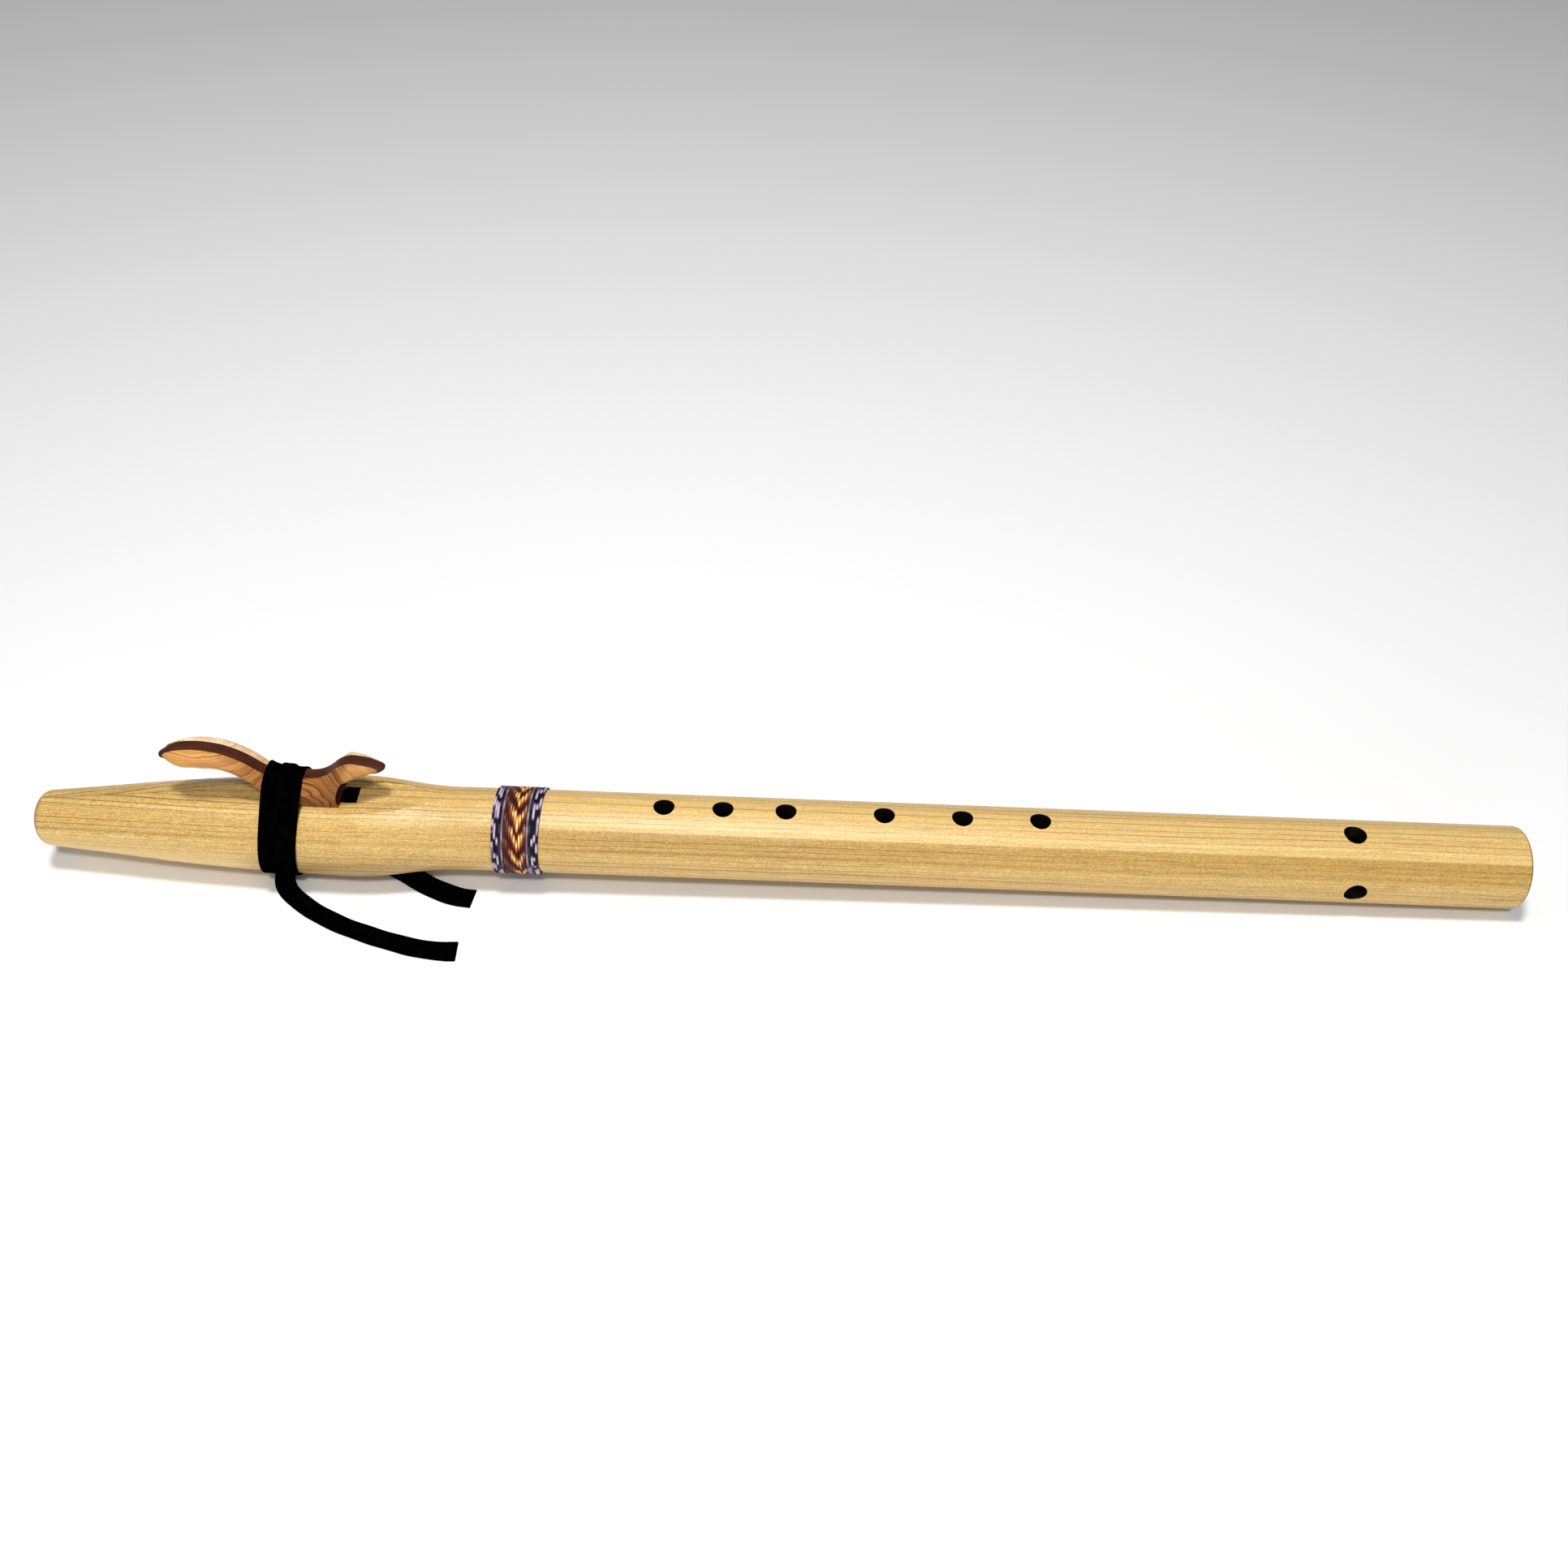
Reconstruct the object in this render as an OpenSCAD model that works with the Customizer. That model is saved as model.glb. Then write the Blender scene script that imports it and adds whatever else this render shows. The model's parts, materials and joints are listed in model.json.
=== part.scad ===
// Block flute of two glued wooden halves, with a carved three-layer block tied on by a suede lace.
// It lies on its lace and its foot, mouth end towards -X, blowing nest and finger holes up (+Z).
// Stations run along the barrel's axis, in mm, from a line 5 mm inside the mouth face.

/* [Overall] */
// Station of the mouth face
mouth_at = -5; // [-10:0.5:0]
// Station of the foot face
foot_at = 581; // [400:1:700]
// Outside diameter of the barrel, mm
barrel_d = 33; // [24:0.5:40]
// Diameter of the sound bore, mm
bore_d = 22; // [15:0.5:26]
// Radius of the soft edge at the foot, mm
foot_round = 1.2; // [0:0.1:3]

/* [Head] */
// Diameter behind the rounded mouth, mm
mouth_d = 22.4; // [16:0.2:26]
// Radius of the rounded mouth, mm
mouth_round = 4.5; // [1:0.1:5]
// Greatest diameter of the swollen head, mm
bulge_d = 40.2; // [34:0.2:46]
// Droop of the head's own axis below the barrel's, degrees
head_droop = 0.95; // [0:0.05:3]
// Diameter of the blow hole, mm
blow_d = 8; // [5:0.5:12]
// Length of the blow hole, mm
blow_len = 38; // [20:1:50]
// Station where the slow air chamber ends
chamber_end = 101; // [90:0.5:105]
// Station where the sound bore begins
bore_start = 112; // [108:0.5:116]
// Height of the flat nest above the barrel's axis, mm
nest_h = 16.3; // [14:0.1:18]

/* [Sound window] */
// Station of the window's mouth-side edge
window_at = 117.6; // [110:0.1:130]
// Length of the window along the flute, mm
window_len = 5.8; // [4:0.1:9]
// Width of the window and of the flue, mm
window_w = 8.7; // [6:0.1:12]
// Depth of the flue below the nest, mm
flue_depth = 1.1; // [0.6:0.1:2]

/* [Holes] */
// Diameter of a finger hole, mm
finger_d = 8.3; // [5:0.1:11]
// Diameter of a direction hole, mm
direction_d = 8.9; // [6:0.1:12]
// Station of the four direction holes
direction_at = 512.5; // [450:0.5:550]
// How far the ring of direction holes is turned towards the near side, degrees
direction_turn = 3; // [-10:1:10]
// How much nearer the foot the near side's direction hole is, mm
direction_step = 1.3; // [0:0.1:3]

/* [Block] */
// Width of the block across the flute, mm
block_w = 14.4; // [10:0.2:20]
// Thickness of the dark middle layer, mm
core_w = 5.2; // [2:0.2:8]
// Gap left between the block and the nest, mm
block_gap = 0.05; // [0:0.01:0.3]

/* [Lace] */
// Thickness of the suede lace, mm
lace_t = 1.2; // [0.8:0.1:2]
// Width of the band that the lace's turns make round the head, mm
band_w = 14.4; // [8:0.2:20]
// Station of the band's middle, level with the barrel's axis
band_at = 93.4; // [90:0.1:98]
// Lean of the band towards the mouth as it goes down, degrees
band_lean = 7.5; // [0:0.5:20]
// Width of a free lace end, mm
tail_w = 9.6; // [4:0.2:14]
// Room between the lace band and the head, mm
lace_gap = 0.3; // [0.1:0.05:0.6]

/* [Thread] */
// How far the thread stands off the barrel, mm
thread_h = 0.9; // [0.4:0.1:2]
// Station where the thread begins
thread_at = 176.4; // [170:0.1:190]

/* [Hidden] */
$fn = 96;

barrel_r = barrel_d / 2;
bore_r = bore_d / 2;
// the head's axis leaves the barrel's here, under the thread
pivot = 178;
sleeve_r = barrel_r - 0.05;
// stations and radii down the head's own axis
head_knots = [[mouth_at + mouth_round, mouth_d / 2], [21, 13.3], [53, 16.6], [85, 18.8], [109, bulge_d / 2 - 0.3],
              [121, bulge_d / 2], [131, 19.6], [140, 18.4], [148, 17.3], [157, 16.6],
              [168, sleeve_r], [pivot, sleeve_r]];
finger_at = [242.2, 265.2, 289.8, 328.2, 358.8, 389.3];

// how low the head's own axis runs at a station
function droop_at(u) = (pivot - u) * sin(head_droop);
// the band rests on the lace end that runs beneath it, and the foot rests on the table
rest_u = 95;
rest_r = 19.25 + lace_gap + lace_t;
lay_deg = asin((rest_r + droop_at(rest_u) + lace_t + 0.12 - barrel_r)
               / (foot_at - foot_round - rest_u));
lay_z = (foot_at - foot_round) * sin(lay_deg) + barrel_r * cos(lay_deg);
// half-way between the foot's and the mouth's farthest points
mouth_x = pivot - (pivot - mouth_at) * cos(head_droop);
mouth_drop = (pivot - mouth_at) * sin(head_droop);
mouth_flat = mouth_d / 2 - mouth_round;
face_deg = lay_deg - head_droop;
foot_far = foot_at * cos(lay_deg) + (barrel_r - foot_round) * sin(lay_deg)
           + foot_round * (1 - cos(lay_deg)) * 0.5;
mouth_far = mouth_x * cos(lay_deg) - mouth_drop * sin(lay_deg)
            - mouth_flat * abs(sin(face_deg));
lay_x = -(foot_far + mouth_far) / 2;

// soft curve through a list of points, n steps between neighbours
function at(p, i) = p[max(0, min(len(p) - 1, i))];
function blend4(a, b, c, d, t) =
    0.5 * (2 * b + (c - a) * t + (2 * a - 5 * b + 4 * c - d) * t * t
           + (3 * b - a - 3 * c + d) * t * t * t);
function soft(p, n) = [for (i = [0 : len(p) - 2]) for (k = [0 : n - 1])
    blend4(at(p, i - 1), at(p, i), at(p, i + 1), at(p, i + 2), k / n)];

module lay() translate([lay_x, 0, lay_z]) rotate([0, lay_deg, 0]) children();
module on_table() translate([lay_x, 0, 0]) children();
module head_frame()
    translate([pivot, 0, 0]) rotate([0, -head_droop, 0]) translate([-pivot, 0, 0]) children();
// turns a profile of [radius, station] points about the flute's axis
module turned(profile) rotate([0, 90, 0]) rotate_extrude($fn = 128) polygon(profile);
module rod(r, a, b) translate([a, 0, 0]) rotate([0, 90, 0]) cylinder(r = r, h = b - a, $fn = 128);
// round hole from the axis upwards, turned by deg about the axis
module side_hole(u, d, deg = 0)
    rotate([deg, 0, 0]) translate([u, 0, 0]) cylinder(d = d, h = 40, $fn = 64);

module outer_shape() {
    head_pts = concat(
        [[0, mouth_at]],
        [for (a = [90 : -10 : 10]) [mouth_d / 2 - mouth_round * (1 - cos(a)),
                                    mouth_at + mouth_round * (1 - sin(a))]],
        [for (p = soft(head_knots, 4)) [p[1], p[0]]],
        [[sleeve_r, pivot], [0, pivot]]);
    barrel_pts = concat(
        [[0, pivot - 1], [barrel_r, pivot - 1]],
        [for (a = [0 : 15 : 90]) [barrel_r - foot_round * (1 - cos(a)),
                                  foot_at - foot_round * (1 - sin(a))]],
        [[0, foot_at]]);
    head_frame() turned(head_pts);
    turned(barrel_pts);
}

module cut_outs() {
    // nest
    translate([44, -25, nest_h]) cube([119, 50, 20]);
    // blow hole and slow air chamber
    head_frame() {
        rod(blow_d / 2, mouth_at - 2, mouth_at + blow_len + 1);
        rod(bore_r, mouth_at + blow_len, chamber_end);
    }
    // hole up out of the chamber, and the flue along the nest to the window
    translate([chamber_end - 7, -window_w / 2, 4]) cube([7, window_w, 20]);
    translate([chamber_end - 3, -window_w / 2, nest_h - flue_depth])
        cube([window_at - chamber_end + 4, window_w, 5]);
    // sound bore, window and the ramp under its sharp edge
    rod(bore_r, bore_start, foot_at + 2);
    translate([window_at, -window_w / 2, 5]) cube([window_len, window_w, 20]);
    translate([window_at + window_len - 0.5, window_w / 2, 0]) rotate([90, 0, 0])
        linear_extrude(window_w) polygon([[0, 6], [0, nest_h - 1.2], [0.5, nest_h - 1.2], [8, 9.5], [8, 6]]);
    for (u = finger_at) side_hole(u, finger_d);
    for (k = [0 : 3])
        side_hole(direction_at + (k == 1 ? direction_step : 0), direction_d, 90 * k + direction_turn);
}

// the half on one side of the glue joint: side is 1 for +Y, -1 for -Y
module half(side) intersection() {
    difference() { outer_shape(); cut_outs(); }
    translate([-20, side > 0 ? 0 : -40, -40]) cube([foot_at + 60, 40, 80]);
}

module body_left_half() color([0.86, 0.73, 0.47]) lay() half(1);
module body_right_half() color([0.86, 0.73, 0.47]) lay() half(-1);

// Side view of the block as a ladder of rungs from tail to beak: station and height of the underside,
// station and height of the top, then the shift of those two points on the outer face, and how far the
// top's shift is a straight bevel (1) or a rounding (0)
base_h = nest_h + block_gap;
body_rungs = [
    [56.6, 34, 55.3, 38.2, 8, 0.7, 8.4, -1.2, 0], [60.5, 34, 60, 39.5, 6, 0.6, 6, -2.2, 0],
    [66, 34, 66.5, 39.85, 3.4, 0.6, 3.2, -2.45, 0], [72, 34.3, 73.5, 38.8, 1, 0.6, 1, -2.4, 0],
    [77.6, 33.5, 79, 36.6, 0, 0.3, 0, -2.3, 0], [81.6, 31.3, 84, 33.4, 0, 0.2, 0, -2.4, 0.1],
    [85.4, 28.1, 88, 29.9, 0, 0.2, 0, -2.9, 0.3], [89, 23.6, 91, 27.7, 0, 0, 0, -3.6, 0.6],
    [91.6, 19.8, 94, 27, 0, 0, 0, -4.4, 0.9], [92.5, base_h, 97.5, 26.9, 0, 0, 0, -4.9, 1],
    [100, base_h, 101.5, 26.8, 0, 0, 0, -4.9, 1], [108, base_h, 105.5, 26.95, 0, 0, 0, -4.9, 1],
    [116.8, base_h, 109.5, 27.4, 0, 0, 0, -4.9, 1], [116.5, 18.8, 112.4, 28.5, 0, 0, 0, -4.9, 1],
    [117.1, 22.4, 115.4, 30.6, 0, 0, 0, -4.9, 1], [118.9, 26.6, 118.6, 33.5, 0, 0.3, 0, -4.8, 0.6],
    [122, 28.2, 123, 35.5, -1.5, 1, -1.5, -4.5, 0.1], [125.2, 29, 127, 35.1, -3.2, 1, -4.2, -3.9, 0],
    [128, 29.9, 130, 34.5, -5.2, 0.9, -6.4, -3.2, 0]];
rungs = soft(concat(
    [[50.8, 35.1, 50.8, 35.6], [53, 34.6, 52.6, 36.8]],
    [for (r = body_rungs) [r[0], r[1], r[2], r[3]]],
    [[131, 30.7, 132.5, 33.6], [134.4, 31, 135, 33], [136.1, 31.9, 136.2, 32.3]]), 3);
// the two outer layers stop short of the core's tips
side_rungs = soft(concat(
    [[53, 35.7, 52.8, 36.6, 8.6, 0, 8.8, -0.5, 0], [54.4, 34.7, 53.7, 37.3, 8.2, 0.3, 8.5, -0.8, 0]],
    body_rungs,
    [[131, 30.8, 132.3, 33.7, -7.6, 0.5, -8.4, -2, 0],
     [133.4, 31.6, 133.6, 32.7, -9.6, 0.1, -9.6, -0.6, 0]]), 3);
n_rungs = len(rungs);

// the core's tips are rounded in plan: stations of the two points, and how long the rounding is
tip_at = [50.8, 136.2];
tip_len = 2.5;
module core_plan() {
    c = core_w / 2;
    polygon(concat(
        [for (a = [-90 : 15 : 90]) [tip_at[1] - tip_len + tip_len * cos(a), c * sin(a)]],
        [for (a = [90 : 15 : 270]) [tip_at[0] + tip_len + tip_len * cos(a), c * sin(a)]]));
}
module block_core() color([0.30, 0.13, 0.09]) lay() intersection() {
    translate([0, core_w / 2, 0]) rotate([90, 0, 0]) linear_extrude(core_w)
        polygon(concat([for (r = rungs) [r[0], max(base_h, r[1])]],
                       [for (i = [n_rungs - 1 : -1 : 0]) [rungs[i][2], rungs[i][3]]]));
    translate([0, 0, base_h - 1]) linear_extrude(40) core_plan();
}

// One outer layer, shaped down towards its outer face and drawn in to a point at tail and beak
module block_side(side) {
    steps = 6;
    depth = (block_w - core_w) / 2;
    // how far out, in mm and as a share of the depth, and the quarter-round law of the heights
    rings = [for (k = [0 : steps]) let (a = 76 * k / steps, out = sin(a) / sin(76))
        [core_w / 2 + depth * out, out, (1 - cos(a)) / (1 - cos(76))]];
    m = 2 * len(side_rungs);
    pts = [for (g = rings) for (r = side_rungs)
        each [[r[0] + r[4] * g[1], side * g[0], max(base_h, r[1] + r[5] * g[2])],
              [r[2] + r[6] * g[1], side * g[0], r[3] + r[7] * (r[8] * g[1] + (1 - r[8]) * g[2])]]];
    function quad(a, b, c, d) = [[a, b, c], [a, c, d]];
    faces = concat(
        [for (i = [0 : 2 : m - 4]) each quad(i, i + 2, i + 3, i + 1)],
        [for (i = [0 : 2 : m - 4]) let (o = steps * m + i) each quad(o, o + 1, o + 3, o + 2)],
        [for (k = [0 : steps - 1]) for (i = [0 : 2 : m - 4]) let (o = k * m + i)
            each concat(quad(o, o + m, o + m + 2, o + 2), quad(o + 1, o + 3, o + m + 3, o + m + 1))],
        [for (k = [0 : steps - 1]) let (o = k * m, e = k * m + m - 2)
            each concat(quad(o, o + 1, o + m + 1, o + m), quad(e, e + m, e + m + 1, e + 1))]);
    lay() polyhedron(pts, side < 0 ? faces : [for (f = faces) [f[2], f[1], f[0]]]);
}
module block_left_side() color([0.76, 0.46, 0.22]) block_side(1);
module block_right_side() color([0.76, 0.46, 0.22]) block_side(-1);

// Section of the room inside the lace band at one station: round below, a tent over the block above,
// whose eaves lie at three steps below its top
module band_section(u, head_r, top, eaves, grow) translate([u, 0, 0]) rotate([90, 0, 90])
    linear_extrude(0.01) offset(r = grow) hull() {
        translate([0, -droop_at(u)]) circle(head_r + lace_gap, $fn = 72);
        for (k = [-1, 1])
            polygon([[0, 20], [7.35 * k, 20], [7.35 * k, top - eaves[2]], [6.5 * k, top - eaves[1]],
                     [5.2 * k, top - eaves[0]], [2.75 * k, top], [0, top]]);
    }
module band_room(grow) hull() {
    band_section(78, 18.42, 29.35, [0.5, 1.35, 2.5], grow);
    band_section(112, 19.92, 27.35, [2.2, 3.5, 4.5], grow);
}
module lace_band() color([0.13, 0.12, 0.12]) lay() intersection() {
    difference() { band_room(lace_t); band_room(0); }
    translate([band_at, 0, 0]) rotate([0, band_lean, 0]) cube([band_w, 60, 90], center = true);
}

// Where the two ends come out of the knot, on the far side under the head
module lace_knot() color([0.13, 0.12, 0.12]) on_table() hull() {
    translate([93, 17.6, 4.2]) sphere(4, $fn = 32);
    translate([104, 17.6, 4.2]) sphere(4, $fn = 32);
}

// Flat strip swept along a route on the table: station, side, height above the table
front_route = [[93, 14.5, 2.4], [91.4, 10, 0.9], [89.8, 5, 0.65], [88.7, -1, 0.65], [88.4, -7, 0.65],
               [90, -13, 0.65], [94.6, -19, 0.65], [101.6, -24.6, 0.65], [110.6, -30.2, 0.65],
               [120, -34.6, 0.65], [130, -38.4, 0.65], [140, -41.6, 0.65], [149, -43.9, 0.65],
               [157, -45, 0.65], [164.4, -44.9, 0.65]];
back_route = [[104, 13.8, 2.4], [110, 11.8, 0.9], [116, 8.2, 0.65], [123, 3.6, 0.65], [130, -1, 0.65],
              [137, -5.4, 0.65], [143, -9.2, 0.65], [149, -12.8, 0.65], [155, -15.6, 0.65],
              [161, -17.4, 0.65], [166.2, -18.2, 0.65]];
module strip(route, w, t) {
    path = concat(soft(route, 2), [route[len(route) - 1]]);
    n = len(path);
    c = [[w / 2 - 0.5, t / 2], [w / 2, t / 4], [w / 2, -t / 4], [w / 2 - 0.5, -t / 2],
         [-w / 2 + 0.5, -t / 2], [-w / 2, -t / 4], [-w / 2, t / 4], [-w / 2 + 0.5, t / 2]];
    pts = [for (i = [0 : n - 1])
        let (d = at(path, i + 1) - at(path, i - 1), s = [d[1], -d[0], 0] / norm([d[0], d[1]]))
        for (q = c) path[i] + s * q[0] + [0, 0, q[1]]];
    walls = [for (i = [0 : n - 2]) for (j = [0 : 7]) let (k = (j + 1) % 8)
        each [[i * 8 + j, i * 8 + k, i * 8 + 8 + k], [i * 8 + j, i * 8 + 8 + k, i * 8 + 8 + j]]];
    polyhedron(pts, concat(walls, [[for (j = [7 : -1 : 0]) j], [for (j = [0 : 7]) n * 8 - 8 + j]]));
}
module lace_tail_front() color([0.13, 0.12, 0.12]) on_table() strip(front_route, tail_w, lace_t);
module lace_tail_back() color([0.13, 0.12, 0.12]) on_table() strip(back_route, tail_w, lace_t);

// A band of n turns of thread, each turn a soft ridge
module thread_band(u, turns, pitch) lay() translate([u, 0, 0]) turned(concat(
    [[barrel_r + 0.02, 0]],
    [for (k = [0 : turns - 1]) for (a = [0.08, 0.3, 0.5, 0.7, 0.92])
        [barrel_r + thread_h * (0.55 + 0.45 * sin(180 * a)), (k + a) * pitch]],
    [[barrel_r + 0.02, turns * pitch]]));
module thread_band_mouth() color([0.62, 0.55, 0.72]) thread_band(thread_at, 5, 0.92);
module thread_band_middle() color([0.85, 0.50, 0.20]) thread_band(thread_at + 4.7, 9, 0.96);
module thread_band_foot() color([0.55, 0.50, 0.66]) thread_band(thread_at + 13.45, 5, 1.0);

body_left_half();
body_right_half();
block_core();
block_left_side();
block_right_side();
lace_band();
lace_knot();
lace_tail_front();
lace_tail_back();
thread_band_mouth();
thread_band_middle();
thread_band_foot();
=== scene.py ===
import bpy, json, math
import numpy as np
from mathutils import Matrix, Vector


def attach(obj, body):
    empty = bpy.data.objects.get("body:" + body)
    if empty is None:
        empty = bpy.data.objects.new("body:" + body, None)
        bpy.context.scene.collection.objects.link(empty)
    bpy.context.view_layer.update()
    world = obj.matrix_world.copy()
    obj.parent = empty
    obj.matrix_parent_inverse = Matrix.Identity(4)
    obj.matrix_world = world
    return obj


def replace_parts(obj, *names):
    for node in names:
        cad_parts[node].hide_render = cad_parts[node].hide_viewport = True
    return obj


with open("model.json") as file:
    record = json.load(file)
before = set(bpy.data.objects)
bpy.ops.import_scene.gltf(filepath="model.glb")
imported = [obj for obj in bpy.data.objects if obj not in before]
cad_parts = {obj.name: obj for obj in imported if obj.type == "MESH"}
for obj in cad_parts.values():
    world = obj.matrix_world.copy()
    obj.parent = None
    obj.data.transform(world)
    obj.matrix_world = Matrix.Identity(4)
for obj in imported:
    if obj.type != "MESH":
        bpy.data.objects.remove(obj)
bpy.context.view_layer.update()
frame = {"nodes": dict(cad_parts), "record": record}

scene = bpy.context.scene

# ------------------------------------------------ camera
cam_data = bpy.data.cameras.new("camera")
cam_data.lens = 33.785
cam_data.sensor_width = 36.0
cam_data.clip_start = 0.01
cam = bpy.data.objects.new("camera", cam_data)
cam.location = (0.002363, -0.400457, 0.448312)
cam.rotation_euler = (math.radians(45.2827), math.radians(-1.0255), math.radians(1.2257))
scene.collection.objects.link(cam)
scene.camera = cam

# ------------------------------------------------ the flute's own frame, as in the CAD
# stations run along the flute from its mouth, heights from its axis, both in mm
MM = 1000                                                # in a metre
foot = next(m for m in frame["record"]["mounts"] if m["name"] == "foot_bore")
FOOT_AT = 581.0                                          # the foot's face
LAY = math.atan2(-foot["axis"][2], foot["axis"][0])      # how steeply the flute lies on the table
LX = foot["pos_m"][0] * MM - FOOT_AT * math.cos(LAY)     # station 0 in the row frame, in mm
LZ = foot["pos_m"][2] * MM + FOOT_AT * math.sin(LAY)
DROOP, PIVOT = math.radians(0.95), 178.0                 # the head droops from this station to the mouth
BARREL_R = 16.5
NEST_H = 16.3                                            # the flat that the block stands on


def to_row(p):
    """station, side, height in mm along the flute -> metres in the row frame"""
    p = np.asarray(p, float)
    c, s = math.cos(LAY), math.sin(LAY)
    return np.stack([LX + p[..., 0] * c + p[..., 2] * s, p[..., 1],
                     LZ - p[..., 0] * s + p[..., 2] * c], -1) / MM


def soft(points, n):
    """a smooth curve through the points, in n steps from each to the next"""
    p = np.asarray(points, float)
    out = []
    for i in range(len(p) - 1):
        a, b, c, d = p[max(i - 1, 0)], p[i], p[i + 1], p[min(i + 2, len(p) - 1)]
        for k in range(n):
            t = k / n
            out.append(0.5 * (2 * b + (c - a) * t + (2 * a - 5 * b + 4 * c - d) * t * t
                              + (3 * b - a - 3 * c + d) * t ** 3))
    out.append(p[-1])
    return np.array(out)


# the head's radius by station
HEAD = soft([[-0.5, 11.2], [21, 13.3], [53, 16.6], [85, 18.8], [109, 19.8], [121, 20.1], [131, 19.6],
             [140, 18.4], [148, 17.3], [157, 16.6], [168, 16.45], [178, 16.45]], 4)


def head_r(u):
    return np.interp(u, HEAD[:, 0], HEAD[:, 1])


def droop(u):
    """how far the head's axis is below the barrel's"""
    return (PIVOT - u) * math.sin(DROOP)


# ------------------------------------------------ mesh helpers
def piece(name, verts, faces, mat, slot_name, body, along=None, sharp=0):
    """a visual piece that rides on a body; along is a vector for its material at each point"""
    me = bpy.data.meshes.new(name)
    me.from_pydata([tuple(v) for v in verts], [], [tuple(f) for f in faces])
    me.validate()
    if along is not None:
        layer = me.attributes.new("along", "FLOAT_VECTOR", "POINT")
        layer.data.foreach_set("vector", np.asarray(along, np.float32).ravel())
    me.polygons.foreach_set("use_smooth", [True] * len(me.polygons))
    if sharp:
        me.set_sharp_from_angle(angle=math.radians(sharp))
    me.materials.append(mat)
    ob = bpy.data.objects.new(name, me)
    scene.collection.objects.link(ob)
    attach(ob, body)
    return ob


def grid_faces(rows, cols, close_rows=False):
    """quads over rows of points, each row closed round"""
    faces = []
    for i in range(rows if close_rows else rows - 1):
        for j in range(cols):
            a, b = i * cols + j, i * cols + (j + 1) % cols
            c = ((i + 1) % rows) * cols
            faces.append((a, b, c + (j + 1) % cols, c + j))
    return faces


def strip_section(w, t, n):
    """closed outline of a flat lace with round edges, counter-clockwise: (across, up)"""
    r = t / 2
    flat = w / 2 - r

    def edge(x, angles):
        return [(x + r * math.cos(math.radians(a)), r * math.sin(math.radians(a))) for a in angles]

    top = [(flat * (1 - 2 * k / (n - 1)), r) for k in range(n)]
    bottom = [(-x, -r) for x, _ in top]
    left, right = edge(-flat, (120, 150, 180, 210, 240)), edge(flat, (-60, -30, 0, 30, 60))
    return np.array(top + left + bottom + right)


# ------------------------------------------------ material helpers
NO_COAT = (0.0, 0.03)


def material(name):
    m = bpy.data.materials.new(name)
    m.use_nodes = True
    nt = m.node_tree
    return m, nt, nt.nodes["Principled BSDF"]


def surface(nt, bs, col, rough, specular, coat, bumps):
    """the shader's settings: coat is (weight, roughness), each bump (strength, distance, height)"""
    for name, value in (("Base Color", col), ("Roughness", rough), ("Specular IOR Level", specular),
                        ("Coat Weight", coat[0]), ("Coat Roughness", coat[1])):
        feed(nt, bs.inputs[name], value)
    under = {}
    for strength, distance, height in bumps:
        bump = nd(nt, "ShaderNodeBump",
                  ins={"Strength": strength, "Distance": distance, "Height": height, **under})
        under = {"Normal": bump.outputs[0]}
    if under:
        nt.links.new(under["Normal"], bs.inputs["Normal"])


def feed(nt, socket, value):
    """link a socket to this input, or set the input's own value"""
    if isinstance(value, bpy.types.NodeSocket):
        nt.links.new(value, socket)
    else:
        socket.default_value = value


def nd(nt, kind, **props):
    """a node with its properties, and its inputs in ins"""
    n = nt.nodes.new(kind)
    ins = props.pop("ins", {})
    for k, v in props.items():
        setattr(n, k, v)
    for k, v in ins.items():
        feed(nt, n.inputs[k], v)
    return n


def math_(nt, op, *values):
    n = nd(nt, "ShaderNodeMath", operation=op)
    for socket, v in zip(n.inputs, values):
        feed(nt, socket, v)
    return n.outputs[0]


def mix(nt, fac, a, b, blend="MIX"):
    """one colour into another; a colour is a socket or (r, g, b)"""
    n = nd(nt, "ShaderNodeMix", data_type="RGBA", blend_type=blend, clamp_factor=True)
    feed(nt, n.inputs[0], fac)
    for i, colour in ((6, a), (7, b)):
        feed(nt, n.inputs[i], (*colour, 1) if isinstance(colour, tuple) else colour)
    return n.outputs[2]


def ramp(nt, fac, stops):
    """a colour ramp from (position, colour) pairs"""
    n = nt.nodes.new("ShaderNodeValToRGB")
    elements = n.color_ramp.elements
    while len(elements) < len(stops):
        elements.new(0.5)
    for e, (pos, col) in zip(elements, stops):
        e.position = pos
        e.color = (*col, 1)
    nt.links.new(fac, n.inputs[0])
    return n.outputs[0]


def levels(nt, fac, *stops):
    """a grey ramp from (position, level) pairs"""
    return ramp(nt, fac, [(at, (v, v, v)) for at, v in stops])


def srgb(r, g, b):
    """a display colour, 0 to 255, as linear light"""
    return tuple(((c / 255 + 0.055) / 1.055) ** 2.4 if c > 10 else c / 255 / 12.92 for c in (r, g, b))


def mapped(nt, vec, scale, loc):
    return nd(nt, "ShaderNodeMapping", ins={"Vector": vec, "Scale": scale, "Location": loc}).outputs[0]


def coords(nt, scale=(1, 1, 1), loc=(0, 0, 0)):
    return mapped(nt, nt.nodes.new("ShaderNodeTexCoord").outputs["Object"], scale, loc)


def noise(nt, vec, scale, detail, rough):
    return nd(nt, "ShaderNodeTexNoise",
              ins={"Vector": vec, "Scale": scale, "Detail": detail, "Roughness": rough}).outputs[0]


def ripple(nt, vec, scale):
    """a soft noise about zero"""
    return math_(nt, "SUBTRACT", noise(nt, vec, scale, 2.0, 0.5), 0.5)


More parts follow.
